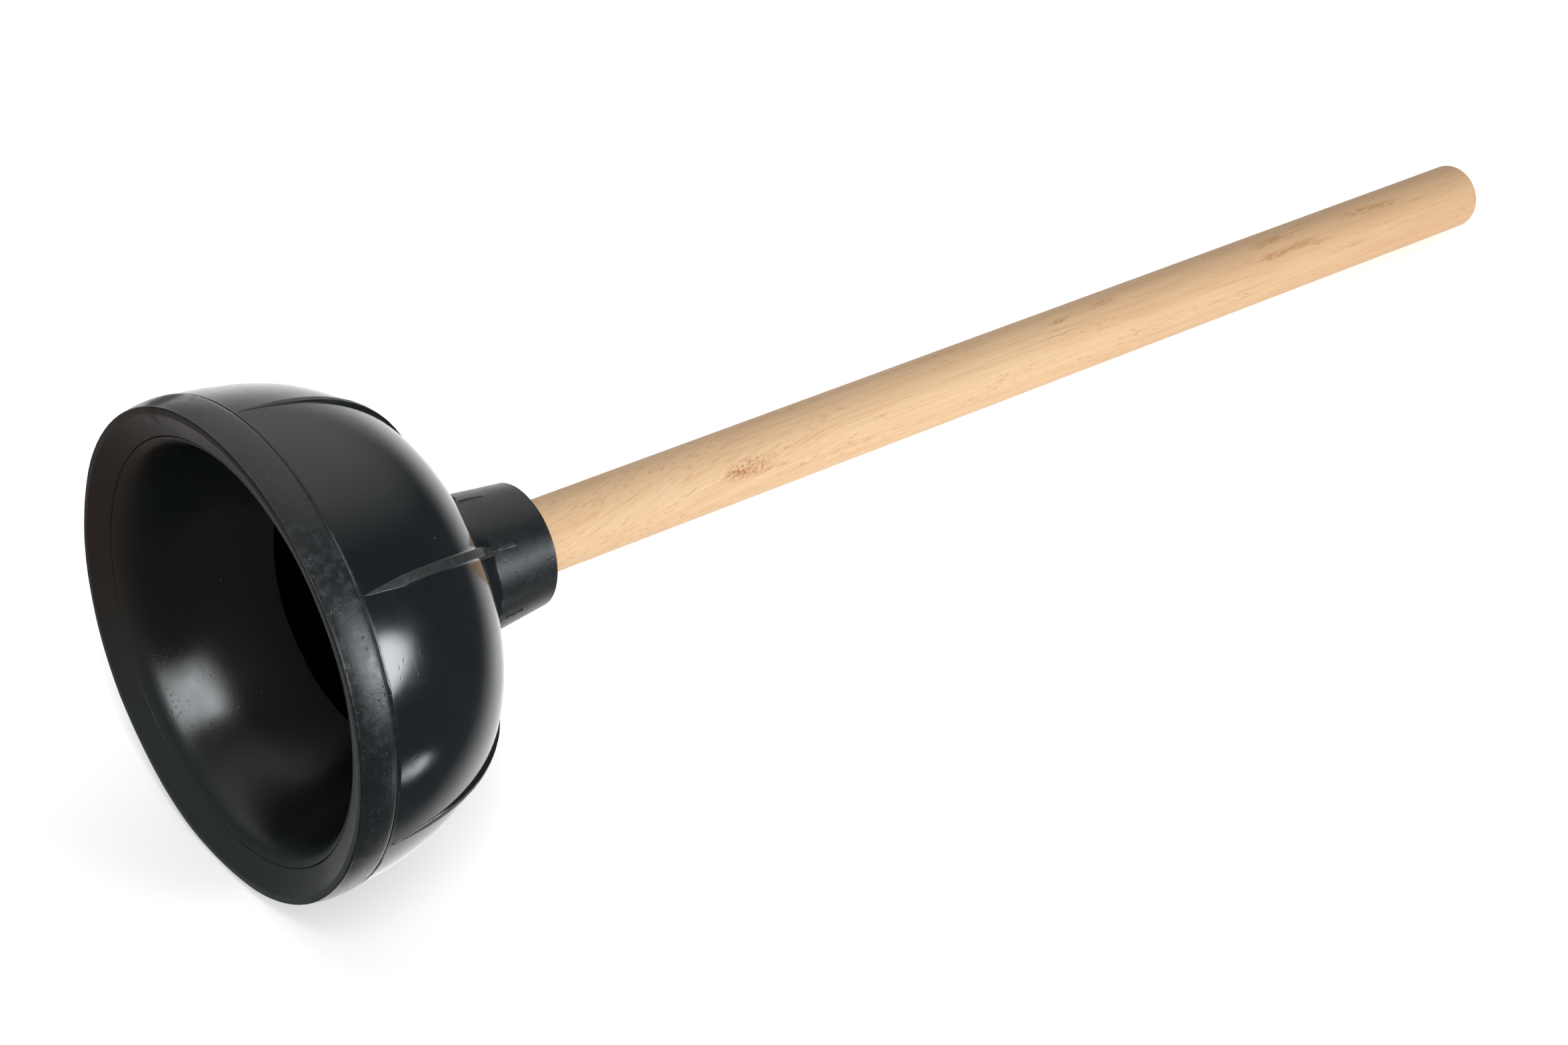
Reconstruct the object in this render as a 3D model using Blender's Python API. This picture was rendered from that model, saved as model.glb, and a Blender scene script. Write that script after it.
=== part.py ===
"""Toilet plunger with a fold-in flange: a moulded rubber cup on a threaded wooden handle.

The plunger stands on its lip. The origin is the centre of the plane that the lip rests on,
and +Z runs up the middle of the handle. The rubber cup is one moulding; it is cut here where
it bends, so that the crown can sink and the flange can be pulled out.
"""
import math

import bmesh
import bpy
from mathutils import Matrix, Vector
from mathutils.geometry import interpolate_bezier

# Lip: the thick band that seals against the bowl or the floor
LIP_RADIUS = 0.0700          # outer edge of the lip's face
LIP_FACE_WIDTH = 0.0084      # from the outer edge in to the parting line
LIP_LAND_WIDTH = 0.0018      # flat part of the face, which the plunger stands on
LIP_EDGE_ROUND = 0.0004      # the flat stops this far inside the lip's outer edge
LIP_FACE_RISE = 0.0034       # the face rises this much from the land to the parting line
LIP_BULGE = 0.0029           # how far the handle of the band's outer curve stands out
BAND_HEIGHT = 0.0106
BAND_TOP_FLARE = 0.0013      # band's upper edge, outside the lip's radius
BAND_TOP_ROUND = 0.0005
BAND_ROOT_HEIGHT = 0.0030    # straight inner side of the band, beside the flange's root

# Bowl: a dome with a superellipse for its outline
BOWL_FLARE = 0.0016          # widest radius of the dome, outside the lip's radius
BOWL_WIDEST_LEVEL = -0.0140  # the dome's equator lies below the lip
CUP_HEIGHT = 0.0682          # top of the dome's outline, where the handle's axis crosses it
BOWL_WALL = 0.0050
BOWL_SIDE_POWER = 3.18       # squareness along the height
BOWL_TOP_POWER = 3.31        # squareness along the radius

# Handle and its threaded end
HANDLE_RADIUS = 0.0111       # a 7/8 inch dowel
HANDLE_LENGTH = 0.4572       # 18 inches
HANDLE_END_ROUND = 0.0045
HANDLE_FOOT_CHAMFER = 0.0012
THREAD_PITCH = 0.0050
THREAD_DEPTH = 0.0014
THREAD_TURNS = 6
THREAD_START = 0.0030        # plain end below the thread

# Socket: the collar outside and the boss inside that hold the handle
COLLAR_HEIGHT = 0.0321       # from the top of the dome to the end of the collar
COLLAR_WALL = 0.0073         # at the end of the collar
COLLAR_TAPER = 0.110         # growth of the radius for each unit down
COLLAR_END_ROUND = 0.0005
COLLAR_FILLET = 0.0080
CROWN_LAND = 0.0015          # least width of the crown left outside the fillet
SOCKET_DEPTH = 0.0465
SOCKET_FLOOR = 0.0047
BOSS_WALL = 0.0061
BOSS_ROUND = 0.0020

# Ribs on the bowl and the crown
RIB_AZIMUTHS = (33.5, 94.5, 155.5, 216.5, 270.0, 332.0)  # degrees from +X; not quite even
RIB_WIDTH = 0.0030
RIB_EDGE_WIDTH = 0.0022
RIB_HEIGHT = 0.0011          # on the bowl
RIB_NOSE_HEIGHT = 0.0024     # at its upper end, where it fills the corner under the collar
RIB_GROWTH = 0.55            # share of the bowl's outline over which a rib rises to its height
RIB_START = 0.0125           # height of the rib's lower end
RIB_END_ABOVE_DOME = 0.0098  # the rib runs this far up the collar
RIB_ROOT = 0.0015            # depth of the rib's root in the wall

# Flange: the sleeve folded into the cup, with a bead on its free edge
FLANGE_WALL = 0.0030
FLANGE_DEPTH = 0.0430        # height of the bead's middle above the lip's plane
FLANGE_EDGE_RADIUS = 0.0392  # radius of the bead's middle
FLANGE_BEAD_RADIUS = 0.0019
FLANGE_EDGE_SLOPE = 45.0     # degrees between the sleeve's free end and the lip's plane

# Clearances
GAP = 0.0003                 # between two stretches of the moulding, and around the handle
CROWN_PASSING_GAP = 0.0033   # between the bead and the crown that sinks through it

# Resolution
CUP_SEGMENTS = 48
HANDLE_SEGMENTS = 24
ROWS_PER_PITCH = 5
SMOOTH_ANGLE = math.radians(35.0)

# Sizes that follow from the ones above
PARTING_RADIUS = LIP_RADIUS - LIP_FACE_WIDTH
BOWL_RADIUS = LIP_RADIUS + BOWL_FLARE
CROWN_RADIUS = FLANGE_EDGE_RADIUS - FLANGE_BEAD_RADIUS - CROWN_PASSING_GAP
COLLAR_END = CUP_HEIGHT + COLLAR_HEIGHT
COLLAR_RADIUS = HANDLE_RADIUS + GAP + COLLAR_WALL
HANDLE_FOOT = COLLAR_END - SOCKET_DEPTH
BOSS_RADIUS = HANDLE_RADIUS + GAP + BOSS_WALL
BOSS_BOTTOM = HANDLE_FOOT - GAP - SOCKET_FLOOR


# --- Outlines, as lists of (radius, height) -------------------------------------------------

def arc(centre, radius, start, end, steps):
    """Points on a circle's arc, from the start angle to the end angle in degrees."""
    angles = [math.radians(start + (end - start) * i / steps) for i in range(steps + 1)]
    return [(centre[0] + radius * math.cos(a), centre[1] + radius * math.sin(a)) for a in angles]


def curve(knot_1, handle_1, handle_2, knot_2, points):
    """Points on a Bezier curve between two knots."""
    ends = [Vector((r, z, 0.0)) for r, z in (knot_1, handle_1, handle_2, knot_2)]
    return [(p.x, p.y) for p in interpolate_bezier(*ends, points)]


def dome_height(radius, inset):
    """Height of the dome's surface at a radius; inset is the depth below the outer skin."""
    share = 1.0 - (radius / (BOWL_RADIUS - inset)) ** BOWL_TOP_POWER
    return BOWL_WIDEST_LEVEL + (CUP_HEIGHT - inset - BOWL_WIDEST_LEVEL) * share ** (1.0 / BOWL_SIDE_POWER)


def dome_radius(height, inset):
    """Radius of the dome's surface at a height."""
    share = (height - BOWL_WIDEST_LEVEL) / (CUP_HEIGHT - inset - BOWL_WIDEST_LEVEL)
    return (BOWL_RADIUS - inset) * (1.0 - share ** BOWL_SIDE_POWER) ** (1.0 / BOWL_TOP_POWER)


def dome(start_height, end_radius, inset, steps):
    """The dome's outline, from a height on its side to a radius on its top."""
    top = CUP_HEIGHT - inset - BOWL_WIDEST_LEVEL
    side_share = (start_height - BOWL_WIDEST_LEVEL) / top
    start = math.asin(side_share ** (BOWL_SIDE_POWER / 2.0))
    end = math.acos((end_radius / (BOWL_RADIUS - inset)) ** (BOWL_TOP_POWER / 2.0))
    outline = []
    for i in range(steps + 1):
        turn = start + (end - start) * i / steps
        radius = (BOWL_RADIUS - inset) * math.cos(turn) ** (2.0 / BOWL_TOP_POWER)
        height = BOWL_WIDEST_LEVEL + top * math.sin(turn) ** (2.0 / BOWL_SIDE_POWER)
        outline.append((radius, height))
    return outline


def offset(outline, distances):
    """The outline moved to its left, seen along its own direction, by a distance at each point."""
    moved = []
    for i, (radius, height) in enumerate(outline):
        before = Vector(outline[max(i - 1, 0)])
        after = Vector(outline[min(i + 1, len(outline) - 1)])
        along = (after - before).normalized()
        moved.append((radius - along.y * distances[i], height + along.x * distances[i]))
    return moved


def collar_outline():
    """Outside of the crown's fillet and of the collar, from the dome to the collar's end."""
    root_radius = COLLAR_RADIUS + COLLAR_HEIGHT * COLLAR_TAPER
    size = min(COLLAR_FILLET, CROWN_RADIUS - CROWN_LAND - root_radius)
    straight_start = CUP_HEIGHT + size
    straight_radius = COLLAR_RADIUS + (COLLAR_END - straight_start) * COLLAR_TAPER
    fillet_radius = straight_radius + size
    reach = size * 0.55
    fillet = curve(
        (fillet_radius, dome_height(fillet_radius, 0.0)),
        (fillet_radius - reach, dome_height(fillet_radius - reach, 0.0)),
        (straight_radius + reach * COLLAR_TAPER, straight_start - reach),
        (straight_radius, straight_start),
        6,
    )
    return fillet + [
        (COLLAR_RADIUS, COLLAR_END - COLLAR_END_ROUND),
        (COLLAR_RADIUS - COLLAR_END_ROUND, COLLAR_END),
    ]


# --- Meshes ---------------------------------------------------------------------------------

def new_object(name, bm):
    """Put a bmesh in the scene as an object with its normals out and its round faces smooth."""
    bmesh.ops.recalc_face_normals(bm, faces=bm.faces)
    mesh = bpy.data.meshes.new(name)
    bm.to_mesh(mesh)
    bm.free()
    mesh.shade_smooth()
    mesh.set_sharp_from_angle(angle=SMOOTH_ANGLE)
    thing = bpy.data.objects.new(name, mesh)
    bpy.context.scene.collection.objects.link(thing)
    return thing


def turned(outline, closed, segments):
    """Spin an outline about Z: a closed one makes a ring, an open one runs from axis to axis."""
    bm = bmesh.new()
    verts = [bm.verts.new((radius, 0.0, height)) for radius, height in outline]
    edges = [bm.edges.new(pair) for pair in zip(verts, verts[1:])]
    if closed:
        edges.append(bm.edges.new((verts[-1], verts[0])))
    bmesh.ops.spin(
        bm, geom=verts + edges, axis=(0, 0, 1), cent=(0, 0, 0), angle=math.tau,
        steps=segments, use_merge=True,
    )
    bmesh.ops.remove_doubles(bm, verts=bm.verts, dist=1e-6)
    return bm


def threaded_rod(radius, foot, top, end_outline):
    """A dowel with a rounded thread, standing on its chamfered foot.

    The thread is cut into the dowel: its crests have the dowel's own radius.
    end_outline closes the upper end, from the dowel's side to the axis.
    """
    thread_start = HANDLE_FOOT + THREAD_START
    thread_end = thread_start + THREAD_TURNS * THREAD_PITCH
    rows = THREAD_TURNS * ROWS_PER_PITCH
    levels = [thread_start + (thread_end - thread_start) * i / rows for i in range(rows + 1)]
    outline = [(0.0, foot), (radius - HANDLE_FOOT_CHAMFER, foot), (radius, foot + HANDLE_FOOT_CHAMFER)]
    outline += [(radius, level) for level in levels] + [(radius, top)] + end_outline
    bm = turned(outline, False, HANDLE_SEGMENTS)
    for vert in bm.verts:
        height = vert.co.z
        if thread_start < height < thread_end:
            turn = math.atan2(vert.co.y, vert.co.x) / math.tau
            wave = 0.5 - 0.5 * math.cos(math.tau * ((height - thread_start) / THREAD_PITCH - turn))
            run_in = min(height - thread_start, thread_end - height) / THREAD_PITCH
            cut = THREAD_DEPTH * wave * min(run_in, 1.0)
            vert.co.x *= (radius - cut) / radius
            vert.co.y *= (radius - cut) / radius
    bmesh.ops.triangulate(bm, faces=bm.faces, quad_method='FIXED', ngon_method='BEAUTY')
    return bm


def ribs(name, outline, heights, cut):
    """Fins that stand on an outline, one for each rib, as separate solids in one helper object.

    cut is the outline's end, 0 or -1, where the ribs stop at the joint between bowl and crown.
    """
    outer = offset(outline, [-height for height in heights])
    root = offset(outline, [RIB_ROOT] * len(outline))
    for side in (outer, root):
        side[cut] = (outline[cut][0], side[cut][1])
    bm = bmesh.new()
    side = [bm.verts.new((r, -RIB_WIDTH / 2.0, z)) for r, z in root + outer[::-1]]
    face = bm.faces.new(side)
    made = bmesh.ops.extrude_face_region(bm, geom=[face])
    other = [v for v in made["geom"] if isinstance(v, bmesh.types.BMVert)]
    bmesh.ops.translate(bm, verts=other, vec=(0.0, RIB_WIDTH, 0.0))
    edge = {(round(r, 7), round(z, 7)) for r, z in outer}
    for vert in bm.verts:
        if (round(vert.co.x, 7), round(vert.co.z, 7)) in edge:
            vert.co.y *= RIB_EDGE_WIDTH / RIB_WIDTH
    first = bm.verts[:] + bm.edges[:] + bm.faces[:]
    for azimuth in RIB_AZIMUTHS[1:]:
        copy = bmesh.ops.duplicate(bm, geom=first)["geom"]
        verts = [v for v in copy if isinstance(v, bmesh.types.BMVert)]
        bmesh.ops.rotate(bm, verts=verts, cent=(0, 0, 0), matrix=rotation(azimuth - RIB_AZIMUTHS[0]))
    bmesh.ops.rotate(bm, verts=bm.verts, cent=(0, 0, 0), matrix=rotation(RIB_AZIMUTHS[0]))
    helper = new_object(name, bm)
    helper.hide_render = True
    helper.display_type = 'WIRE'
    return helper


def rotation(degrees):
    """A turn about the Z axis."""
    return Matrix.Rotation(math.radians(degrees), 3, 'Z')


def boolean(thing, helper, operation):
    """Join a helper's solids to an object, or cut them out of it."""
    modifier = thing.modifiers.new(helper.name, 'BOOLEAN')
    modifier.operation = operation
    modifier.object = helper
    modifier.solver = 'EXACT'


def finish(thing, colour, roughness):
    """Give a piece its own material."""
    material = bpy.data.materials.new(thing.name)
    material.use_nodes = True
    shader = material.node_tree.nodes["Principled BSDF"]
    shader.inputs["Base Color"].default_value = (*colour, 1.0)
    shader.inputs["Roughness"].default_value = roughness
    shader.inputs["Metallic"].default_value = 0.0
    thing.data.materials.append(material)


# --- Pieces ---------------------------------------------------------------------------------

def make_lip_band():
    """The thick band round the mouth: a coned face, a bulging side and a stepped upper edge."""
    land_outer = LIP_RADIUS - LIP_EDGE_ROUND
    band_top_radius = LIP_RADIUS + BAND_TOP_FLARE
    side = curve(
        (land_outer, 0.0),
        (LIP_RADIUS + LIP_EDGE_ROUND, BAND_HEIGHT * 0.12),
        (LIP_RADIUS + LIP_BULGE, BAND_HEIGHT * 0.60),
        (band_top_radius, BAND_HEIGHT - BAND_TOP_ROUND),
        8,
    )
    bore = dome_radius(BAND_HEIGHT, BOWL_WALL)
    root_top = LIP_FACE_RISE + BAND_ROOT_HEIGHT
    outline = side + [
        (band_top_radius - BAND_TOP_ROUND, BAND_HEIGHT),
        (bore, BAND_HEIGHT),
        (PARTING_RADIUS, root_top),
        (PARTING_RADIUS, LIP_FACE_RISE),
        (land_outer - LIP_LAND_WIDTH, 0.0),
    ]
    return new_object("lip_band", turned(outline, True, CUP_SEGMENTS))


def make_bowl_wall():
    """The bowl between the band and the crown, with the long part of each rib."""
    foot = BAND_HEIGHT + GAP
    head = CROWN_RADIUS + GAP / 2.0
    outline = dome(foot, head, 0.0, 12) + dome(foot, head, BOWL_WALL, 8)[::-1]
    thing = new_object("bowl_wall", turned(outline, True, CUP_SEGMENTS))
    path = dome(RIB_START, head, 0.0, 12)
    boolean(thing, ribs("bowl_ribs", path, rib_heights(len(path)), -1), 'UNION')
    return thing


def rib_heights(count):
    """A rib's height at each point of the bowl: nothing at its lower end, full near the crown."""
    least = RIB_HEIGHT * 0.1
    heights = []
    for i in range(count):
        share = min(i / (count - 1) / RIB_GROWTH, 1.0)
        heights.append(least + (RIB_HEIGHT - least) * share * share * (3.0 - 2.0 * share))
    return heights


def make_handle_socket():
    """The crown, the collar outside and the boss inside, with the thread for the handle."""
    collar = collar_outline()
    rim = CROWN_RADIUS - GAP / 2.0
    root = BOSS_RADIUS + BOSS_ROUND
    outline = [(0.0, BOSS_BOTTOM)]
    outline += arc((BOSS_RADIUS - BOSS_ROUND, BOSS_BOTTOM + BOSS_ROUND), BOSS_ROUND, -90, 0, 3)
    outline += [(BOSS_RADIUS, dome_height(root, BOWL_WALL) - BOSS_ROUND)]
    outline += [(r, dome_height(r, BOWL_WALL)) for r in (root, (root + rim) / 2.0, rim)]
    crown = [rim + (collar[0][0] - rim) * i / 4 for i in range(4)]
    outline += [(r, dome_height(r, 0.0)) for r in crown]
    outline += collar + [(0.0, COLLAR_END)]
    thing = new_object("handle_socket", turned(outline, False, CUP_SEGMENTS))

    path = [(r, dome_height(r, 0.0)) for r in crown] + collar[:-2]
    rib_end = CUP_HEIGHT + RIB_END_ABOVE_DOME
    path.append((COLLAR_RADIUS + (COLLAR_END - rib_end) * COLLAR_TAPER, rib_end))
    fillet = len(path) - len(crown) - 2
    heights = [RIB_HEIGHT] * len(crown)
    heights += [RIB_HEIGHT + (RIB_NOSE_HEIGHT - RIB_HEIGHT) * i / fillet for i in range(fillet + 1)]
    heights.append(RIB_NOSE_HEIGHT * 0.5)
    boolean(thing, ribs("crown_ribs", path, heights, 0), 'UNION')

    above = COLLAR_END + COLLAR_WALL
    bore = threaded_rod(HANDLE_RADIUS + GAP, HANDLE_FOOT - GAP, above, [(0.0, above)])
    cutter = new_object("socket_bore", bore)
    cutter.hide_render = True
    cutter.display_type = 'WIRE'
    boolean(thing, cutter, 'DIFFERENCE')
    return thing


def make_wooden_handle():
    """A turned dowel with a softly rounded end and a thread cut in its foot."""
    top = HANDLE_FOOT + HANDLE_LENGTH
    centre = (HANDLE_RADIUS - HANDLE_END_ROUND, top - HANDLE_END_ROUND)
    end = arc(centre, HANDLE_END_ROUND, 0, 90, 4)
    rod = threaded_rod(HANDLE_RADIUS, HANDLE_FOOT, end[0][1], end[1:] + [(0.0, top)])
    return new_object("wooden_handle", rod)


def flange_middle(points):
    """Middle of the sleeve's wall, from the fold at the lip to just below the bead."""
    slope = math.radians(FLANGE_EDGE_SLOPE)
    along = Vector((-math.cos(slope), math.sin(slope)))
    bead = Vector((FLANGE_EDGE_RADIUS, FLANGE_DEPTH))
    end = bead - along * (FLANGE_BEAD_RADIUS + GAP)
    root = Vector((PARTING_RADIUS - GAP - FLANGE_WALL / 2.0, LIP_FACE_RISE))
    rise = end.y - root.y
    reach = end - along * rise * 0.35
    return curve(root, (root.x - (root.x - end.x) * 0.15, root.y + rise * 0.35), reach, end, points)


def make_flange_sleeve():
    """The flange's wall, tucked up inside the cup."""
    middle = flange_middle(8)
    half = [FLANGE_WALL / 2.0] * len(middle)
    inner = offset(middle, half)
    outer = offset(middle, [-h for h in half])
    inner[0] = (middle[0][0] - half[0], middle[0][1])
    outer[0] = (middle[0][0] + half[0], middle[0][1])
    return new_object("flange_sleeve", turned(outer + inner[::-1], True, CUP_SEGMENTS))


def make_flange_edge_ring():
    """The bead on the flange's free edge."""
    centre = (FLANGE_EDGE_RADIUS, FLANGE_DEPTH)
    outline = arc(centre, FLANGE_BEAD_RADIUS, 0, 360, 10)[:-1]
    return new_object("flange_edge_ring", turned(outline, True, CUP_SEGMENTS))


def add_axis(name):
    """An empty on the plunger's axis, which a moving group hangs from."""
    empty = bpy.data.objects.new(name, None)
    empty.empty_display_size = LIP_RADIUS
    bpy.context.scene.collection.objects.link(empty)
    return empty


def main():
    """Clear the scene and build the plunger."""
    for thing in list(bpy.data.objects):
        bpy.data.objects.remove(thing, do_unlink=True)
    rubber = (0.018, 0.021, 0.025)
    wood = (0.74, 0.55, 0.36)
    fixed = [make_lip_band(), make_bowl_wall(), make_flange_sleeve()]
    sinking = [make_handle_socket(), make_wooden_handle()]
    folding = [make_flange_edge_ring()]
    plunge_axis = add_axis("plunge_axis")
    fold_axis = add_axis("fold_axis")
    for thing in sinking:
        thing.parent = plunge_axis
    for thing in folding:
        thing.parent = fold_axis
    for thing in fixed + sinking + folding:
        is_wood = thing.name == "wooden_handle"
        finish(thing, wood if is_wood else rubber, 0.55 if is_wood else 0.35)


main()
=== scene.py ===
import math

import bmesh
import bpy
import numpy as np
from mathutils import Matrix, Vector, noise
from mathutils.geometry import interpolate_bezier


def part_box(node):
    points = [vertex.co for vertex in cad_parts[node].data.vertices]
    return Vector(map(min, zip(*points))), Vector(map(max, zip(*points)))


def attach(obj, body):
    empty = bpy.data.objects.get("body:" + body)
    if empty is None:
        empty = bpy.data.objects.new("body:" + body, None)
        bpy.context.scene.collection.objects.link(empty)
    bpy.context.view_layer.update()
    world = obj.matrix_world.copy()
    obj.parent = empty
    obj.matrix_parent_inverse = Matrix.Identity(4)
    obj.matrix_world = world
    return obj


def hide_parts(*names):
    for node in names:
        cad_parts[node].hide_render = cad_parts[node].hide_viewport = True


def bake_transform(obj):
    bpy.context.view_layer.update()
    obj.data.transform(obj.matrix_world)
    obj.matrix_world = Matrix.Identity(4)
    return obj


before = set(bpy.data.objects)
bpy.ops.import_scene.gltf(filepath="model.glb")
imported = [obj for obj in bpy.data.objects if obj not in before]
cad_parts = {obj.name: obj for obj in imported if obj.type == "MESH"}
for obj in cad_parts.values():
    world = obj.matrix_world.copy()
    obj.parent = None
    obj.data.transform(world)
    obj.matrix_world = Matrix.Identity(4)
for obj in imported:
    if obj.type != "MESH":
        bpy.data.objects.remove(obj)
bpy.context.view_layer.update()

# The room. A big pale floor that the plunger lies on, touching it with the lip band's side and
# the handle's end, a pale room around it, and soft boxes that give the rubber its highlights.
# The floor is seen from above only, so that it doesn't hide the plunger from the other side.
EYE = Vector((0.02166, -0.81326, -0.36634))
VIEW_RIGHT = Vector((0.3652, -0.5246, 0.7690))
VIEW_UP = Vector((-0.9309, -0.2058, 0.3017))
VIEW_BACK = VIEW_RIGHT.cross(VIEW_UP)
LENS_MM = 75.0
SENSOR_MM = 36.0

eye_data = bpy.data.cameras.new("eye")
eye_data.lens = LENS_MM
eye_data.sensor_width = SENSOR_MM
eye = bpy.data.objects.new("eye", eye_data)
bpy.context.scene.collection.objects.link(eye)
turn = Matrix((VIEW_RIGHT, VIEW_UP, VIEW_BACK)).transposed()
eye.matrix_world = Matrix.Translation(EYE) @ turn.to_4x4()
bpy.context.scene.camera = eye
bpy.context.scene.view_settings.view_transform = 'Standard'

lip_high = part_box("lip_band")[1]
handle_low, handle_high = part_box("wooden_handle")


class Wire:
    """A shader socket that Python's sums work on; node() adds any other shader node."""

    def __init__(self, tree, socket=None):
        self.tree = tree
        self.socket = socket

    def node(self, kind, settings=None, sockets=None, out=0):
        """Add a node: its settings are made first, then its sockets get values or links."""
        made = self.tree.nodes.new(kind)
        for name, value in (settings or {}).items():
            setattr(made, name, value)
        for name, value in (sockets or {}).items():
            if isinstance(value, Wire):
                self.tree.links.new(value.socket, made.inputs[name])
            else:
                made.inputs[name].default_value = value
        return Wire(self.tree, made.outputs[out] if made.outputs else None)

    def math(self, operation, *values):
        """A Math node on this socket and the values."""
        sockets = dict(enumerate((self, *values)))
        return self.node("ShaderNodeMath", {"operation": operation}, sockets)

    def __add__(self, other):
        return self.math('ADD', other)

    def __radd__(self, other):
        return self.math('ADD', other)

    def __sub__(self, other):
        return self.math('SUBTRACT', other)

    def __rsub__(self, other):
        return self.node("ShaderNodeMath", {"operation": 'SUBTRACT'}, {0: other, 1: self})

    def __mul__(self, other):
        return self.math('MULTIPLY', other)

    def __rmul__(self, other):
        return self.math('MULTIPLY', other)

    def step(self, low, high):
        """A smooth rise from 0 to 1 between two values; a fall if high is the smaller one."""
        settings = {"interpolation_type": 'SMOOTHSTEP'}
        return self.node("ShaderNodeMapRange", settings,
                         {"Value": self, "From Min": low, "From Max": high})

    def mix(self, first, second):
        """A colour between two, with this socket as the share of the second."""
        settings = {"data_type": 'RGBA'}
        return self.node("ShaderNodeMix", settings, {0: self, 6: first, 7: second}, 2)


def new_material(name):
    """An empty material, and the wire that its first nodes hang on."""
    material = bpy.data.materials.new(name)
    material.use_nodes = True
    material.node_tree.nodes.clear()
    return material, Wire(material.node_tree)


FLOOR_UP = Vector((-0.7265, -0.6768, -0.1169)).normalized()   # the floor's up in this frame
FLOOR_SIZE = 30.0
FLOOR_COLOUR = (0.97, 0.97, 0.97, 1.0)
FLOOR_GLOW = 0.50
BAND_WIDEST = 0.66           # share of the lip band's height where it stands out furthest


def lowest_below(radius, height):
    """How far up from the origin the lowest point of a circle round the axis lies."""
    level = math.hypot(FLOOR_UP.x, FLOOR_UP.y)
    return height * FLOOR_UP.z - radius * level


floor_drop = min(
    lowest_below(lip_high.x, lip_high.z * BAND_WIDEST),
    lowest_below(handle_high.x, handle_high.z),
)
bm = bmesh.new()
bmesh.ops.create_grid(bm, x_segments=1, y_segments=1, size=FLOOR_SIZE / 2.0)
bmesh.ops.rotate(bm, verts=bm.verts, matrix=FLOOR_UP.to_track_quat('Z', 'Y').to_matrix())
bmesh.ops.translate(bm, verts=bm.verts, vec=FLOOR_UP * floor_drop)
floor_mesh = bpy.data.meshes.new("floor")
bm.to_mesh(floor_mesh)
bm.free()
floor = bpy.data.objects.new("floor", floor_mesh)
floor.visible_glossy = False
bpy.context.scene.collection.objects.link(floor)
floor_paint, w = new_material("floor_paint")
matt = w.node("ShaderNodeBsdfDiffuse", None, {"Color": FLOOR_COLOUR})
shine = w.node("ShaderNodeEmission", None, {"Color": FLOOR_COLOUR, "Strength": FLOOR_GLOW})
pale = w.node("ShaderNodeAddShader", None, {0: matt, 1: shine})
clear = w.node("ShaderNodeBsdfTransparent")
backface = w.node("ShaderNodeNewGeometry", None, None, "Backfacing")
sheet = w.node("ShaderNodeMixShader", None, {0: backface, 1: pale, 2: clear})
w.node("ShaderNodeOutputMaterial", None, {"Surface": sheet})
floor_mesh.materials.append(floor_paint)

# A room that is bright behind the plunger, fairly bright above and dim on the eye's side; to the
# eye it is plain white
WALL_GLOW = 1.3
CEILING_GLOW = 0.90
ROOM_GLOW = 0.10
WHITE = (1.0, 1.0, 1.0, 1.0)
room = bpy.data.worlds.new("room")
room.use_nodes = True
room.node_tree.nodes.clear()
bpy.context.scene.world = room
w = Wire(room.node_tree)
towards = w.node("ShaderNodeTexCoord", None, None, "Generated")
behind, above = [
    w.node("ShaderNodeVectorMath", {"operation": 'DOT_PRODUCT'}, {0: towards, 1: way}, "Value")
    for way in (-VIEW_BACK, VIEW_UP)
]
glow = behind.step(0.56, 0.90) * WALL_GLOW + above.step(0.55, 1.0) * CEILING_GLOW + ROOM_GLOW
lit = w.node("ShaderNodeBackground", None, {"Color": WHITE, "Strength": glow})
seen = w.node("ShaderNodeBackground", None, {"Color": WHITE, "Strength": 1.0})
is_eye = w.node("ShaderNodeLightPath", None, None, "Is Camera Ray")
both = w.node("ShaderNodeMixShader", None, {0: is_eye, 1: lit, 2: seen})
w.node("ShaderNodeOutputWorld", None, {"Surface": both})

# Soft boxes: where each one stands as seen from the cup (right, up, back to the eye), its
# distance, width and height, its lean in degrees, and how bright its face is
SOFT_BOXES = {
    "key_box": ((0.12, 0.33, 0.94), 2.4, 0.28, 1.20, 27.0, 18.0),
    "key_edge": ((0.22, 0.08, 0.97), 2.4, 0.16, 0.50, 27.0, 11.0),
    "window_box": ((0.94, -0.11, 0.315), 2.4, 0.66, 1.00, 0.0, 16.0),
    "band_card": ((0.83, -0.03, 0.55), 2.4, 0.46, 0.90, 0.0, 15.0),
    "low_card": ((0.755, -0.60, -0.27), 2.0, 0.20, 0.26, 0.0, 7.0),
}
LAMP_COLOUR = (0.94, 0.98, 1.0)
LIGHTS_AIM = 4.0             # height that the lights face, in heights of the lip band
cup_middle = Vector((0.0, 0.0, lip_high.z * LIGHTS_AIM))
for name, (way, distance, width, height, lean, brightness) in SOFT_BOXES.items():
    lamp = bpy.data.lights.new(name, 'AREA')
    lamp.shape = 'ELLIPSE'
    lamp.color = LAMP_COLOUR
    lamp.size = width
    lamp.size_y = height
    face_area = math.pi / 4.0 * width * height
    lamp.energy = brightness * math.pi * face_area
    box = bpy.data.objects.new(name, lamp)
    out = (VIEW_RIGHT * way[0] + VIEW_UP * way[1] + VIEW_BACK * way[2]).normalized()
    side = VIEW_UP.cross(out).normalized()
    stand = Matrix((side, out.cross(side), out)).transposed().to_4x4()
    lean = Matrix.Rotation(math.radians(lean), 4, 'Z')
    box.matrix_world = Matrix.Translation(cup_middle + out * distance) @ stand @ lean
    box.visible_camera = False
    bpy.context.scene.collection.objects.link(box)
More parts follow.
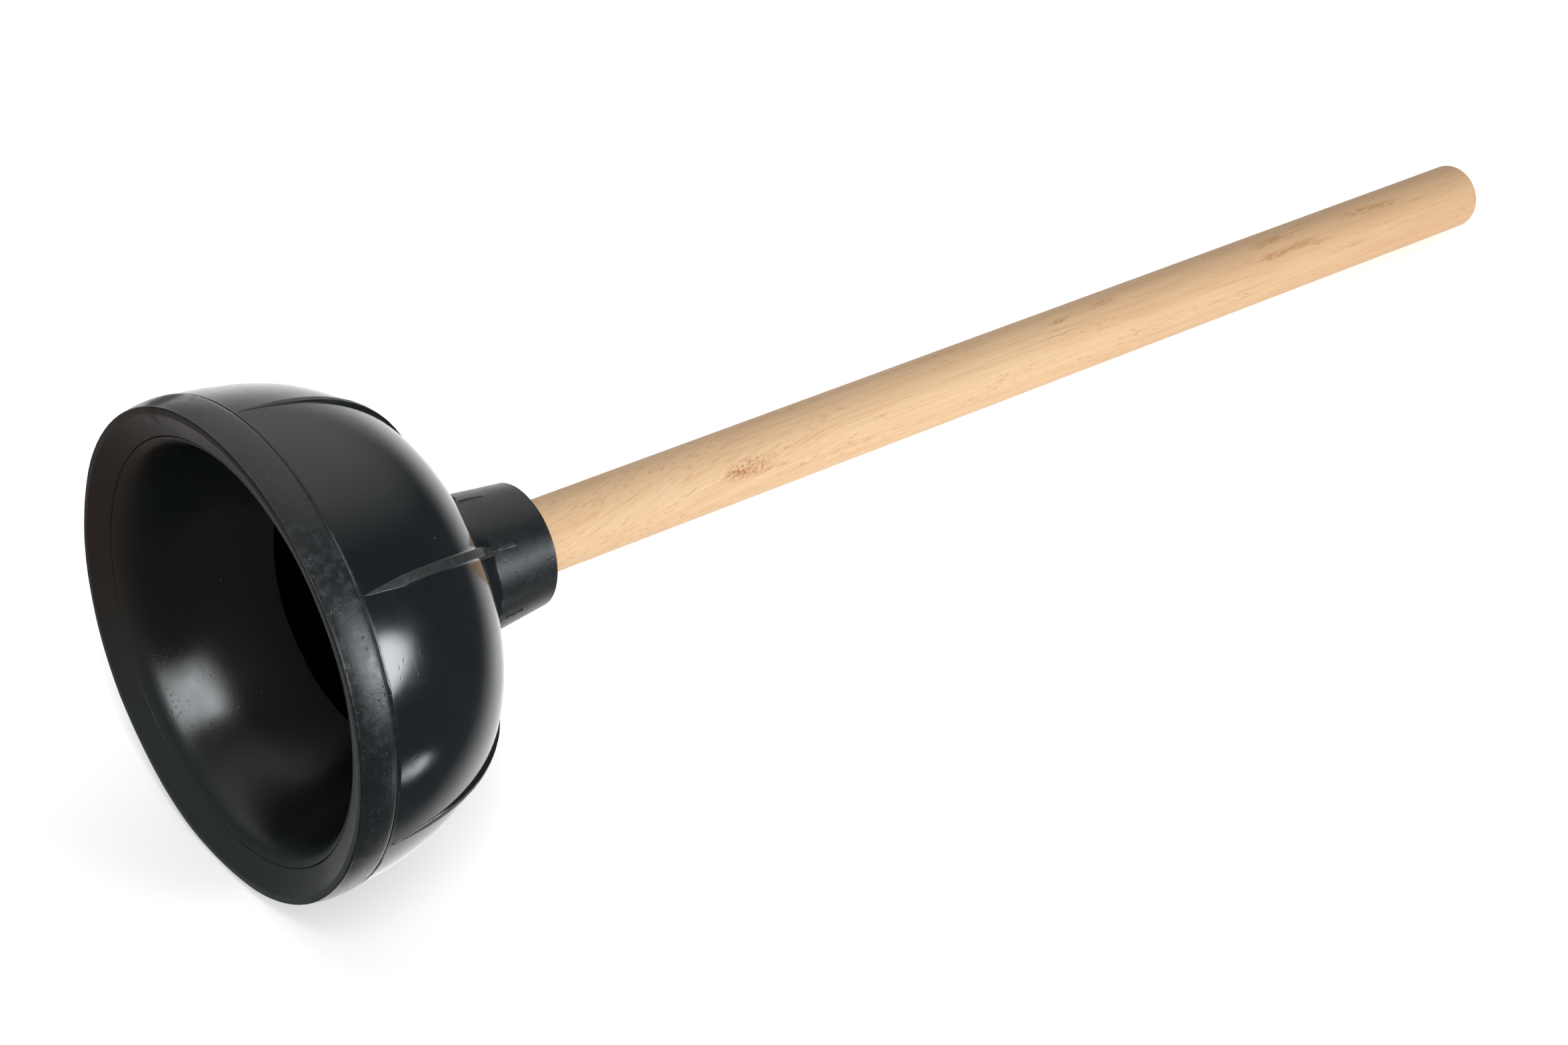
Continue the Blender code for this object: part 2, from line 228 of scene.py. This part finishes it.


# The rubber cup. One moulding of black rubber: the lip band, the ribbed bowl, the crown, and the
# collar and boss that hold the handle. The bowl bends when the handle is pushed.
socket_low, socket_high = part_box("handle_socket")
bead_low, bead_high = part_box("flange_edge_ring")
PARTING_RADIUS = 0.0616
PARTING_LEVEL = 0.0034
BOWL_RADIUS = 0.0716
BOWL_EQUATOR = -0.0140
BOWL_TOP = 0.0682
BOWL_WALL = 0.0050
SIDE_POWER = 3.18            # squareness of the bowl's outline along its height
TOP_POWER = 3.31             # and along its radius
BOWL_FOOT = 0.0111           # height of the bowl's skin where it leaves the band
FILLET_FOOT = 0.0290         # radius at which the bowl's top turns up to the collar
UNDERSIDE_FOOT = 0.022       # radius at which the underside turns down to the boss
BAND_HEIGHT = lip_high.z
COLLAR_TOP = socket_high.z
COLLAR_RADIUS = 0.0187
COLLAR_TAPER = 0.110
COLLAR_FOOT = 0.0790
COLLAR_EDGE = 0.0004         # rounding of the collar's upper edge
BORE_GAP = 0.00005
BORE_RADIUS = handle_high.x + BORE_GAP
BOSS_BOTTOM = socket_low.z
BOSS_RADIUS = 0.0175
BOSS_ROUND = 0.002

RIB_TURNS = (270.1, 332.5, 393.5, 454.5, 515.5, 576.5)   # degrees from +X to each rib
RIB_LEAN = 0.9               # degrees that a rib turns back between the band and the collar
RIB_START = 0.0118
RIB_END = 0.0785
RIB_HEIGHT = 0.0011
RIB_NOSE_HEIGHT = 0.0025     # where the rib fills the corner under the collar
RIB_GROWTH = 0.50            # share of its length over which a rib rises to its height
RIB_NOSE_FROM = 0.76         # share of its length at which it starts to rise to that height
RIB_NOSE_RISE = 0.17         # and over which it does
RIB_NOSE_LENGTH = 0.022      # share of its length that its rounded end takes
RIB_FIRST_HEIGHT = 0.12      # share of its height at its lower end
RIB_TIP_WIDTH = 0.10         # share of its width there
RIB_LEAST_WIDTH = 0.25       # share of its width at its upper end
RIB_WIDTH_RETURN = 0.12      # share of its length past that end, where its columns spread again
# Half of a rib's cross-section: distance from its middle in metres, and share of its height
RIB_SIDE = (
    (0.0, 1.0), (0.00035, 1.0), (0.0007, 1.0), (0.00095, 0.99), (0.0011, 0.95), (0.0012, 0.84),
    (0.00127, 0.62), (0.00134, 0.38), (0.00143, 0.17), (0.0016, 0.06), (0.0019, 0.01), (0.0024, 0.0),
)
SECTOR_COLUMNS = 40
FLASH_HEIGHT = 0.00035       # line of moulding flash up the collar, above each rib
FLASH_END = 1.10             # where it ends, in lengths of the rib
WOBBLE = 0.00012             # unevenness of the moulding
FINE_WOBBLE = 0.00003
LIP_DENTS = 0.00045

# Roughness, depth of the moulded grain and share of dust of each stretch of the skin
FINISHES = {
    "inside": (0.45, 0.3, 0.3),
    "face": (0.40, 0.35, 0.5),
    "band": (0.30, 0.8, 1.0),
    "bowl": (0.14, 0.08, 0.6),
    "rib": (0.52, 1.2, 0.9),
    "collar": (0.37, 0.6, 0.8),
}


def bowl_run(start_height, end_radius, inset, steps):
    """The bowl's outline, a superellipse, from a height on its side to a radius on its top."""
    rise = BOWL_TOP - inset - BOWL_EQUATOR
    share = (start_height - BOWL_EQUATOR) / rise
    start = math.asin(share ** (SIDE_POWER / 2.0))
    end = math.acos((end_radius / (BOWL_RADIUS - inset)) ** (TOP_POWER / 2.0))
    run = []
    for i in range(steps + 1):
        t = start + (end - start) * i / steps
        radius = (BOWL_RADIUS - inset) * math.cos(t) ** (2.0 / TOP_POWER)
        run.append((radius, BOWL_EQUATOR + rise * math.sin(t) ** (2.0 / SIDE_POWER)))
    return run


def bent(points, steps):
    """A Bezier stretch of an outline: a knot, two handles and a knot, as (radius, height)."""
    ends = [Vector((*point, 0.0)) for point in points]
    return [(p.x, p.y) for p in interpolate_bezier(*ends, steps + 1)]


def straight(start, end, steps):
    """A straight stretch of an outline."""
    return [(start[0] + (end[0] - start[0]) * i / steps, start[1] + (end[1] - start[1]) * i / steps)
            for i in range(steps + 1)]


def eased(share):
    """A soft rise from 0 to 1."""
    share = min(1.0, max(0.0, share))
    return share * share * (3.0 - 2.0 * share)


under_crown = bowl_run(BAND_HEIGHT + 0.003, UNDERSIDE_FOOT, BOWL_WALL, 44)[::-1]
over_bowl = bowl_run(BOWL_FOOT, FILLET_FOOT, 0.0, 124)
crown_edge = over_bowl[-1]
collar_foot = (COLLAR_RADIUS + (COLLAR_TOP - COLLAR_FOOT) * COLLAR_TAPER, COLLAR_FOOT)
collar_start = COLLAR_FOOT + 0.0010
bore_floor = handle_low.z - 0.0002
stretches = [
    ("inside", straight((0.0, BOSS_BOTTOM), (BOSS_RADIUS - BOSS_ROUND, BOSS_BOTTOM), 3)),
    ("inside", bent([(BOSS_RADIUS - BOSS_ROUND, BOSS_BOTTOM), (BOSS_RADIUS - 0.0009, BOSS_BOTTOM),
                     (BOSS_RADIUS, BOSS_BOTTOM + 0.0009), (BOSS_RADIUS, BOSS_BOTTOM + BOSS_ROUND)], 4)),
    ("inside", bent([(BOSS_RADIUS, under_crown[0][1] - 0.005),
                     (BOSS_RADIUS, under_crown[0][1] - BOSS_ROUND),
                     (BOSS_RADIUS + BOSS_ROUND, under_crown[0][1]), under_crown[0]], 5)),
    ("inside", under_crown[1:]),
    ("inside", bent([under_crown[-1], (under_crown[-1][0], 0.0105), (0.0640, 0.0095),
                     (PARTING_RADIUS, 0.0066)], 8)),
    ("inside", straight((PARTING_RADIUS, 0.0060), (PARTING_RADIUS, PARTING_LEVEL + 0.0003), 3)),
    ("face", bent([(PARTING_RADIUS, PARTING_LEVEL + 0.0003), (PARTING_RADIUS, PARTING_LEVEL),
                   (PARTING_RADIUS + 0.0001, PARTING_LEVEL - 0.0001),
                   (PARTING_RADIUS + 0.0004, PARTING_LEVEL - 0.0002)], 3)),
    ("face", straight((PARTING_RADIUS + 0.0008, PARTING_LEVEL - 0.0004), (0.0684, 0.0001), 10)),
    ("face", straight((0.0688, 0.0), (0.0701, 0.0), 3)),
    ("band", bent([(0.0704, 0.0), (0.0706, 0.0), (0.0707, 0.0001), (0.0708, 0.0004)], 3)),
    ("band", bent([(0.0708, 0.0007), (0.0714, 0.0030), (0.0717, 0.0058), (0.0716, 0.0085)], 16)),
    ("band", bent([(0.0716, 0.0088), (0.0715, 0.0098), (0.0715, BAND_HEIGHT),
                   (0.0710, BAND_HEIGHT)], 8)),
    ("band", bent([(0.0709, BAND_HEIGHT), (0.0708, BAND_HEIGHT), (0.0709, BAND_HEIGHT + 0.0004),
                   over_bowl[0]], 4)),
    ("bowl", over_bowl[1:]),
    ("bowl", bent([crown_edge, (crown_edge[0] - 0.0046, crown_edge[1] + 0.0004),
                   (collar_foot[0] + 0.0012, collar_foot[1] - 0.0080), collar_foot], 20)),
    ("collar", straight((COLLAR_RADIUS + (COLLAR_TOP - collar_start) * COLLAR_TAPER, collar_start),
                        (COLLAR_RADIUS, COLLAR_TOP - COLLAR_EDGE), 30)),
    ("collar", bent([(COLLAR_RADIUS, COLLAR_TOP - 0.0003), (COLLAR_RADIUS, COLLAR_TOP - 0.0001),
                     (COLLAR_RADIUS - 0.0001, COLLAR_TOP),
                     (COLLAR_RADIUS - COLLAR_EDGE, COLLAR_TOP)], 3)),
    ("collar", straight((COLLAR_RADIUS - 0.0010, COLLAR_TOP), (BORE_RADIUS + 0.0007, COLLAR_TOP), 4)),
    ("collar", bent([(BORE_RADIUS + 0.0006, COLLAR_TOP), (BORE_RADIUS + 0.0001, COLLAR_TOP),
                     (BORE_RADIUS, COLLAR_TOP - 0.0001), (BORE_RADIUS, COLLAR_TOP - 0.0006)], 3)),
    ("inside", straight((BORE_RADIUS, COLLAR_TOP - 0.004), (BORE_RADIUS, bore_floor), 3)),
    ("inside", [(0.0, bore_floor)]),
]
skin = [(*point, zone) for zone, run in stretches for point in run]
place = np.array([point[:2] for point in skin])
tangent = np.gradient(place, axis=0)
tangent /= np.linalg.norm(tangent, axis=1)[:, None]
length = np.concatenate([[0.0], np.cumsum(np.linalg.norm(np.diff(place, axis=0), axis=1))])
outside = [i for i, point in enumerate(skin) if point[2] in ("bowl", "collar")]
rib_from = min(outside, key=lambda i: abs(place[i][1] - RIB_START))
by_collar = [i for i in outside if place[i][0] < FILLET_FOOT + 0.001]
rib_to = min(by_collar, key=lambda i: abs(place[i][1] - RIB_END))

bm = bmesh.new()
layers = {name: bm.verts.layers.float.new(name) for name in
          ("rib", "rib_along", "rib_width", "flash", "out_r", "out_z", "rough", "grain", "dust", "face")}
verts = []
for i, (radius, height, zone) in enumerate(skin):
    vert = bm.verts.new((radius, 0.0, height))
    rough, grain, dust = FINISHES[zone]
    along = (length[i] - length[rib_from]) / (length[rib_to] - length[rib_from])
    inside_rib = zone in ("bowl", "collar") and 0.0 < along < 1.0
    grown = RIB_FIRST_HEIGHT + (1.0 - RIB_FIRST_HEIGHT) * eased(along / RIB_GROWTH)
    rib_height = RIB_HEIGHT * grown
    rib_height += (RIB_NOSE_HEIGHT - RIB_HEIGHT) * eased((along - RIB_NOSE_FROM) / RIB_NOSE_RISE)
    nose = math.sqrt(1.0 - min(1.0, max(0.0, (along - 1.0) / RIB_NOSE_LENGTH + 1.0)) ** 2)
    past_end = RIB_LEAST_WIDTH + (1.0 - RIB_LEAST_WIDTH) * eased((along - 1.0) / RIB_WIDTH_RETURN)
    values = {
        "rib": rib_height * nose ** 0.6 if inside_rib else 0.0,
        "rib_width": nose if inside_rib else past_end,
        "rib_along": min(max(along, 0.0), 1.6) if zone in ("bowl", "collar") else 0.0,
        "flash": FLASH_HEIGHT if zone == "collar" and 1.0 <= along < FLASH_END else 0.0,
        "out_r": tangent[i][1], "out_z": -tangent[i][0],
        "rough": rough, "grain": grain, "dust": dust,
        "face": 1.0 if zone == "face" else 0.0,
    }
    for name, value in values.items():
        vert[layers[name]] = value
    verts.append(vert)
edges = [bm.edges.new(pair) for pair in zip(verts, verts[1:])]
columns = SECTOR_COLUMNS * len(RIB_TURNS)
bmesh.ops.spin(bm, geom=verts + edges, axis=(0, 0, 1), cent=(0, 0, 0), angle=math.tau,
               steps=columns, use_merge=True)
bmesh.ops.remove_doubles(bm, verts=bm.verts, dist=1e-6)
bmesh.ops.recalc_face_normals(bm, faces=bm.faces)

# Each sixth of the cup has its rib in the middle: the columns beside a rib stand at set
# distances from it, and the others share what is left
sides = np.array(RIB_SIDE)
turns = np.array(RIB_TURNS)
half = SECTOR_COLUMNS // 2
for vert in bm.verts:
    radius = math.hypot(vert.co.x, vert.co.y)
    if radius < 1e-6:
        continue
    column = round(math.atan2(vert.co.y, vert.co.x) / math.tau * columns) % columns
    rib = ((column + half) // SECTOR_COLUMNS) % len(turns)
    beside = (column + half) % SECTOR_COLUMNS - half
    near = len(sides) - 1
    along = vert[layers["rib_along"]]
    width = RIB_TIP_WIDTH + 0.85 * min(1.0, along * 7.0) + 0.20 * along
    width *= max(RIB_LEAST_WIDTH, vert[layers["rib_width"]])
    spread = sides[:, 0] * width / max(radius, 0.018)
    span = [(turns[(rib + way) % len(turns)] - turns[rib] + 180.0) % 360.0 - 180.0 for way in (-1, 1)]
    gap = math.radians(abs(span[0 if beside < 0 else 1])) / 2.0
    share = abs(beside)
    if share <= near:
        angle = spread[share]
    else:
        angle = spread[near] + (gap - spread[near]) * (share - near) / (half - near)
    lean = math.radians(RIB_LEAN) * along
    angle = math.radians(turns[rib]) - lean + math.copysign(angle, beside)
    lift = 0.0
    here = Vector((radius * math.cos(angle), radius * math.sin(angle), vert.co.z))
    if share <= near:
        ragged = 0.96 + 0.06 * noise.noise(here * 900.0)
        lift = vert[layers["rib"]] * sides[share][1] * ragged
        if lift > 0.0 and sides[share][1] > 0.9:
            vert[layers["rough"]], vert[layers["grain"]], vert[layers["dust"]] = FINISHES["rib"]
        if share <= 1:
            broken = max(0.0, 0.8 + 1.2 * noise.noise(here * 400.0))
            lift += vert[layers["flash"]] * min(1.0, broken) * (1.0 if share == 0 else 0.4)
    wobble = WOBBLE * noise.noise(here * 34.0) + FINE_WOBBLE * noise.noise(here * 140.0)
    if here.z < BAND_HEIGHT:
        wobble -= LIP_DENTS * max(0.0, noise.noise(here * 28.0 + Vector((3.0, 1.0, 0.0))))
    push = lift + wobble
    radius += vert[layers["out_r"]] * push
    height = max(0.0, vert.co.z + vert[layers["out_z"]] * push)
    vert.co = (radius * math.cos(angle), radius * math.sin(angle), height)

cup_mesh = bpy.data.meshes.new("rubber_cup")
bm.to_mesh(cup_mesh)
bm.free()
cup_mesh.shade_smooth()
cup_mesh.set_sharp_from_angle(angle=math.radians(50.0))
rubber_cup = bpy.data.objects.new("rubber_cup", cup_mesh)
bpy.context.scene.collection.objects.link(rubber_cup)


BUMP_DEPTH = 0.0002


def rubber(name):
    """Black moulded rubber. Its gloss, grain and dust follow the mesh's own attributes, and so does the
    painted floor reflection on the lip's face.
    """
    material, w = new_material(name)
    spot = w.node("ShaderNodeTexCoord", None, None, "Object")
    rough, grain, dust, face = [
        w.node("ShaderNodeAttribute", {"attribute_name": key}, None, "Fac")
        for key in ("rough", "grain", "dust", "face")
    ]

    def noise_of(scale, detail=2.0, warp=0.0):
        return w.node("ShaderNodeTexNoise", None,
                      {"Vector": spot, "Scale": scale, "Detail": detail, "Distortion": warp}, "Fac")

    def near(height, turn, radius, reach):
        """A soft patch round a place on the skin."""
        middle = (radius * math.cos(math.radians(turn)), radius * math.sin(math.radians(turn)), height)
        far = w.node("ShaderNodeVectorMath", {"operation": 'DISTANCE'}, {0: spot, 1: middle}, "Value")
        return far.step(reach, reach * 0.3)

    clouds = noise_of(55.0, 4.0)
    smears = noise_of(420.0, 3.0)
    fine = noise_of(2600.0)
    # Stray dust, pits where the mould was dirty, and thin scratches
    specks = w.node("ShaderNodeTexVoronoi", None, {"Vector": spot, "Scale": 210.0}, "Distance")
    motes = specks.step(0.075, 0.03) * noise_of(90.0).step(0.50, 0.60) * dust
    holes = w.node("ShaderNodeTexVoronoi", None, {"Vector": spot, "Scale": 620.0}, "Distance")
    pits = holes.step(0.30, 0.16) * noise_of(150.0).step(0.52, 0.62) * grain
    hair = (noise_of(130.0, 1.0, 0.8) - 0.5).math('ABSOLUTE').step(0.006, 0.001)
    scratches = hair * noise_of(75.0).step(0.54, 0.60) * grain
    # Lighter, rougher patches: the band on the side facing the eye, and the bowl's back
    pale_rough_patches = near(0.005, 277.0, 0.071, 0.045) * grain + near(0.018, 197.0, 0.070, 0.030) * 0.7
    crumbs = near(0.005, 195.0, 0.0705, 0.007)
    black = clouds.mix((0.0045, 0.0062, 0.0072, 1.0), (0.0082, 0.0110, 0.0125, 1.0))
    wear = smears.step(0.46, 0.70) * (pale_rough_patches * 0.6 + grain * 0.22) + scratches * 0.5
    worn = wear.mix(black, (0.030, 0.034, 0.038, 1.0))
    # The lip's face gets a painted reflection of the floor: grey-green on the +X side, brownish on the
    # -X side
    side = w.node("ShaderNodeSeparateXYZ", None, {0: spot}, 0)
    painted_floor_reflection = side.step(0.02, -0.05).mix((0.034, 0.044, 0.042, 1.0), (0.030, 0.017, 0.010, 1.0))
    faced = (face * 0.9).mix(worn, painted_floor_reflection)
    colour = (motes * 0.75).mix(faced, (0.16, 0.17, 0.17, 1.0))
    gloss = rough + (clouds - 0.5) * 0.14 + (smears - 0.5) * (grain + pale_rough_patches) * 0.22
    gloss = gloss + pale_rough_patches * 0.08
    gloss = gloss + motes * 0.3 + crumbs * 0.3
    height = fine * grain * 0.40 + smears * grain * 0.25 + motes * 0.6 + clouds * 0.12
    height = height - pits * 1.3 - scratches * 0.6 + smears * crumbs * 6.0
    bump = w.node("ShaderNodeBump", None,
                  {"Height": height, "Strength": 0.4, "Distance": BUMP_DEPTH}, "Normal")
    shader = w.node("ShaderNodeBsdfPrincipled", None, {
        "Base Color": colour, "Roughness": gloss, "Normal": bump,
        "Specular IOR Level": 0.5, "IOR": 1.52,
    })
    w.node("ShaderNodeOutputMaterial", None, {"Surface": shader})
    return material


cup_mesh.materials.append(rubber("moulded_rubber"))
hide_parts("lip_band", "bowl_wall", "handle_socket")
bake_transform(rubber_cup)


# The flange. The same moulding goes on inside the lip as a thinner sleeve with a free edge. It is
# tucked up into the cup here, and turns inside out through the mouth when it is pulled down.
FOLD_LEVEL = PARTING_LEVEL
FLANGE_COLUMNS = 216
FLANGE_WOBBLE = 0.00035
FACE_TOP = 0.012             # the fold by the lip is dull like the lip's face and gets its painted floor reflection, up to this height
FACE_FROM = 0.0560           # and from this radius
FACE_OVER = 0.0050           # with a change this wide
bead_level = (bead_low.z + bead_high.z) / 2.0
bead_half = (bead_high.z - bead_low.z) / 2.0
bead_radius = bead_high.x - bead_half
inner_run = [
    bent([(PARTING_RADIUS - 0.0002, FOLD_LEVEL + 0.0001), (0.0607, 0.0038), (0.0600, 0.0044),
          (0.0594, 0.0051)], 8),
    bent([(0.0593, 0.0052), (0.0586, 0.0061), (0.0580, 0.0074), (0.0576, 0.0084)], 8),
    bent([(0.0576, 0.0084), (0.0559, 0.0126), (0.0534, 0.0200), (0.0504, 0.0254)], 24),
    bent([(0.0504, 0.0254), (0.0474, 0.0308), (0.0426, 0.0370),
          (bead_radius - bead_half * 0.7, bead_level - bead_half * 0.7)], 24),
]
outer_run = [
    [(bead_radius + bead_half * math.cos(math.radians(a)),
      bead_level + bead_half * math.sin(math.radians(a))) for a in range(-155, 66, 20)],
    bent([(bead_radius + bead_half * 0.62, bead_level - 0.0002), (0.0500, 0.0345),
          (0.0561, 0.0225), (0.0590, 0.0125)], 30),
    bent([(0.0590, 0.0125), (0.0602, 0.0092), (0.0613, 0.0080), (0.0613, 0.0045)], 8),
]
bm = bmesh.new()
layers = {name: bm.verts.layers.float.new(name) for name in ("rough", "grain", "dust", "face")}
FINISHES["flange"] = (0.23, 0.12, 0.6)
verts = []
for run in inner_run + outer_run:
    for point in run:
        if verts and math.dist(point, (verts[-1].co.x, verts[-1].co.z)) < 1e-5:
            continue
        vert = bm.verts.new((point[0], 0.0, point[1]))
        faced = eased((point[0] - FACE_FROM) / FACE_OVER) if point[1] < FACE_TOP else 0.0
        for name, flange, face in zip(("rough", "grain", "dust"), FINISHES["flange"], FINISHES["face"]):
            vert[layers[name]] = flange + (face - flange) * faced
        vert[layers["face"]] = faced
        verts.append(vert)
edges = [bm.edges.new(pair) for pair in zip(verts, verts[1:] + verts[:1])]
bmesh.ops.spin(bm, geom=verts + edges, axis=(0, 0, 1), cent=(0, 0, 0), angle=math.tau,
               steps=FLANGE_COLUMNS, use_merge=True)
bmesh.ops.remove_doubles(bm, verts=bm.verts, dist=1e-6)
bmesh.ops.recalc_face_normals(bm, faces=bm.faces)
for vert in bm.verts:
    level = (vert.co.z - FOLD_LEVEL) / (bead_level - FOLD_LEVEL)
    push = FLANGE_WOBBLE * min(1.0, level * 2.0) * noise.noise(vert.co * 30.0)
    vert.co.x += vert.co.x / bead_radius * push
    vert.co.y += vert.co.y / bead_radius * push
flange_mesh = bpy.data.meshes.new("rubber_flange")
bm.to_mesh(flange_mesh)
bm.free()
flange_mesh.shade_smooth()
rubber_flange = bpy.data.objects.new("rubber_flange", flange_mesh)
bpy.context.scene.collection.objects.link(rubber_flange)
flange_mesh.materials.append(rubber("flange_rubber"))
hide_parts("flange_sleeve", "flange_edge_ring")
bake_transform(rubber_flange)


# The handle. A turned dowel of pale hardwood, sanded and left bare, with a softly rounded end and
# a small knot a third of the way up. Its foot is screwed into the cup's boss.
HANDLE_END_ROUND = 0.0042
FOOT_CHAMFER = 0.0012
HANDLE_COLUMNS = 96
END_STEPS = 12
handle_radius = handle_high.x
top = handle_high.z
end_turns = [step / END_STEPS * math.pi / 2 for step in range(END_STEPS + 1)]
end_round = [(handle_radius - HANDLE_END_ROUND + HANDLE_END_ROUND * math.cos(turn),
              top - HANDLE_END_ROUND + HANDLE_END_ROUND * math.sin(turn)) for turn in end_turns]
outline = [(0.0, handle_low.z), (handle_radius - FOOT_CHAMFER, handle_low.z),
           (handle_radius, handle_low.z + FOOT_CHAMFER)]
outline += straight((handle_radius, handle_low.z + 0.006),
                    (handle_radius, top - HANDLE_END_ROUND - 0.002), 90)
outline += end_round + [((handle_radius - HANDLE_END_ROUND) * 0.5, top), (0.0, top)]
bm = bmesh.new()
verts = [bm.verts.new((radius, 0.0, height)) for radius, height in outline]
edges = [bm.edges.new(pair) for pair in zip(verts, verts[1:])]
bmesh.ops.spin(bm, geom=verts + edges, axis=(0, 0, 1), cent=(0, 0, 0), angle=math.tau,
               steps=HANDLE_COLUMNS, use_merge=True)
bmesh.ops.remove_doubles(bm, verts=bm.verts, dist=1e-6)
bmesh.ops.recalc_face_normals(bm, faces=bm.faces)
handle_mesh = bpy.data.meshes.new("handle")
bm.to_mesh(handle_mesh)
bm.free()
handle_mesh.shade_smooth()
handle_mesh.set_sharp_from_angle(angle=math.radians(35.0))
handle = bpy.data.objects.new("handle", handle_mesh)
bpy.context.scene.collection.objects.link(handle)

# The knot's height, its place in degrees from +X, and its width as a share of its length; the side
# that the slanting grain faces; and the brown flecks, as height, degrees from +X and reach across
KNOT_HEIGHT = 0.1765
KNOT_TURN = 285.0
KNOT_SQUEEZE = 0.34
GRAIN_TURN = 285.0
FLECK_SQUEEZE = 0.16
BROWN_FLECKS = (
    (0.4090, 232.0, 0.0022), (0.4628, 242.0, 0.0022), (0.4520, 238.0, 0.0018),
    (0.4057, 262.0, 0.0016), (0.4180, 258.0, 0.0020), (0.4285, 266.0, 0.0012),
    (0.4435, 291.0, 0.0013), (0.3100, 236.0, 0.0012), (0.3300, 231.0, 0.0014),
    (0.1718, 285.0, 0.0014), (0.1859, 299.0, 0.0014), (0.3740, 62.0, 0.0020),
    (0.2900, 120.0, 0.0018), (0.2050, 20.0, 0.0018), (0.1500, 100.0, 0.0016),
)


def on_handle(height, turn):
    """A point on the handle's surface."""
    turn = math.radians(turn)
    return (handle_radius * math.cos(turn), handle_radius * math.sin(turn), height)


material, w = new_material("bare_wood")
spot = w.node("ShaderNodeTexCoord", None, None, "Object")
level = w.node("ShaderNodeSeparateXYZ", None, {0: spot}, 2)
drawn_in = w.node("ShaderNodeMapping", None, {"Vector": spot, "Scale": (1.0, 1.0, KNOT_SQUEEZE)})
knot_far = w.node("ShaderNodeVectorMath", {"operation": 'DISTANCE'},
                  {0: drawn_in, 1: on_handle(KNOT_HEIGHT * KNOT_SQUEEZE, KNOT_TURN)}, "Value")
# The fibres slant before the knot and bend round it
slant = level.step(0.100, 0.185) * 0.020 - knot_far.step(0.014, 0.0) * 0.004
across = on_handle(0.0, GRAIN_TURN + 90.0)
slide = w.node("ShaderNodeVectorMath", {"operation": 'SCALE'},
               {0: tuple(c / handle_radius for c in across), "Scale": slant})
grain = w.node("ShaderNodeVectorMath", {"operation": 'ADD'}, {0: spot, 1: slide})


def fibre_noise(across_scale, along_scale, detail, warp=0.0):
    """Noise drawn out along the grain."""
    scale = (across_scale, across_scale, along_scale)
    drawn = w.node("ShaderNodeMapping", None, {"Vector": grain, "Scale": scale})
    return w.node("ShaderNodeTexNoise", None,
                  {"Vector": drawn, "Scale": 1.0, "Detail": detail, "Distortion": warp}, "Fac")


fibres = fibre_noise(1500.0, 34.0, 4.0, 0.3)
streaks = fibre_noise(330.0, 9.0, 3.0)
pores = fibre_noise(2200.0, 280.0, 1.0)
porous = fibre_noise(210.0, 26.0, 2.0)
broad = w.node("ShaderNodeTexNoise", None, {"Vector": spot, "Scale": 16.0, "Detail": 2.0}, "Fac")
ragged = fibre_noise(900.0, 170.0, 3.0, 1.5)
squeezed = w.node("ShaderNodeMapping", None, {"Vector": spot, "Scale": (1.0, 1.0, FLECK_SQUEEZE)})
patches = []
for height, turn, reach in BROWN_FLECKS:
    middle = on_handle(height * FLECK_SQUEEZE, turn)
    far = w.node("ShaderNodeVectorMath", {"operation": 'DISTANCE'}, {0: squeezed, 1: middle}, "Value")
    patches.append(far.step(reach, reach * 0.25))
flecks = sum(patches) * ragged.step(0.42, 0.56)
scribble = w.node("ShaderNodeTexNoise", None,
                  {"Vector": spot, "Scale": 420.0, "Detail": 3.0, "Distortion": 1.2}, "Fac")
scar = (scribble - 0.5).math('ABSOLUTE').step(0.05, 0.015) * knot_far.step(0.0042, 0.0010)
base = broad.mix((0.701, 0.442, 0.249, 1.0), (0.719, 0.493, 0.289, 1.0))
base = (streaks.step(0.40, 0.75) * 0.50).mix(base, (0.628, 0.376, 0.204, 1.0))
base = (fibres.step(0.48, 0.74) * 0.50).mix(base, (0.537, 0.296, 0.147, 1.0))
base = (fibres.step(0.45, 0.25) * 0.40).mix(base, (0.783, 0.587, 0.380, 1.0))
base = (pores.step(0.58, 0.68) * porous.step(0.48, 0.64) * 0.45).mix(base, (0.400, 0.179, 0.076, 1.0))
base = (flecks.math('MINIMUM', 1.0) * 0.80).mix(base, (0.491, 0.235, 0.090, 1.0))
base = (knot_far.step(0.0038, 0.0) * 0.30).mix(base, (0.528, 0.268, 0.114, 1.0))
base = (scar * 0.80).mix(base, (0.337, 0.136, 0.057, 1.0))
# Painted shade: the wood is painted darker towards the handle's top end
base = (level.step(0.22, 0.52) * 0.40).mix(base, (0.455, 0.263, 0.133, 1.0))
height = fibres * 0.5 - pores.step(0.58, 0.70) * porous.step(0.45, 0.62) * 0.5
height = height - scar * 1.2 - flecks * 0.3
bump = w.node("ShaderNodeBump", None,
              {"Height": height, "Strength": 0.35, "Distance": BUMP_DEPTH}, "Normal")
shader = w.node("ShaderNodeBsdfPrincipled", None, {
    "Base Color": base, "Roughness": 0.58, "Normal": bump, "Specular IOR Level": 0.35,
})
w.node("ShaderNodeOutputMaterial", None, {"Surface": shader})
handle_mesh.materials.append(material)
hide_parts("wooden_handle")
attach(handle, "crown")
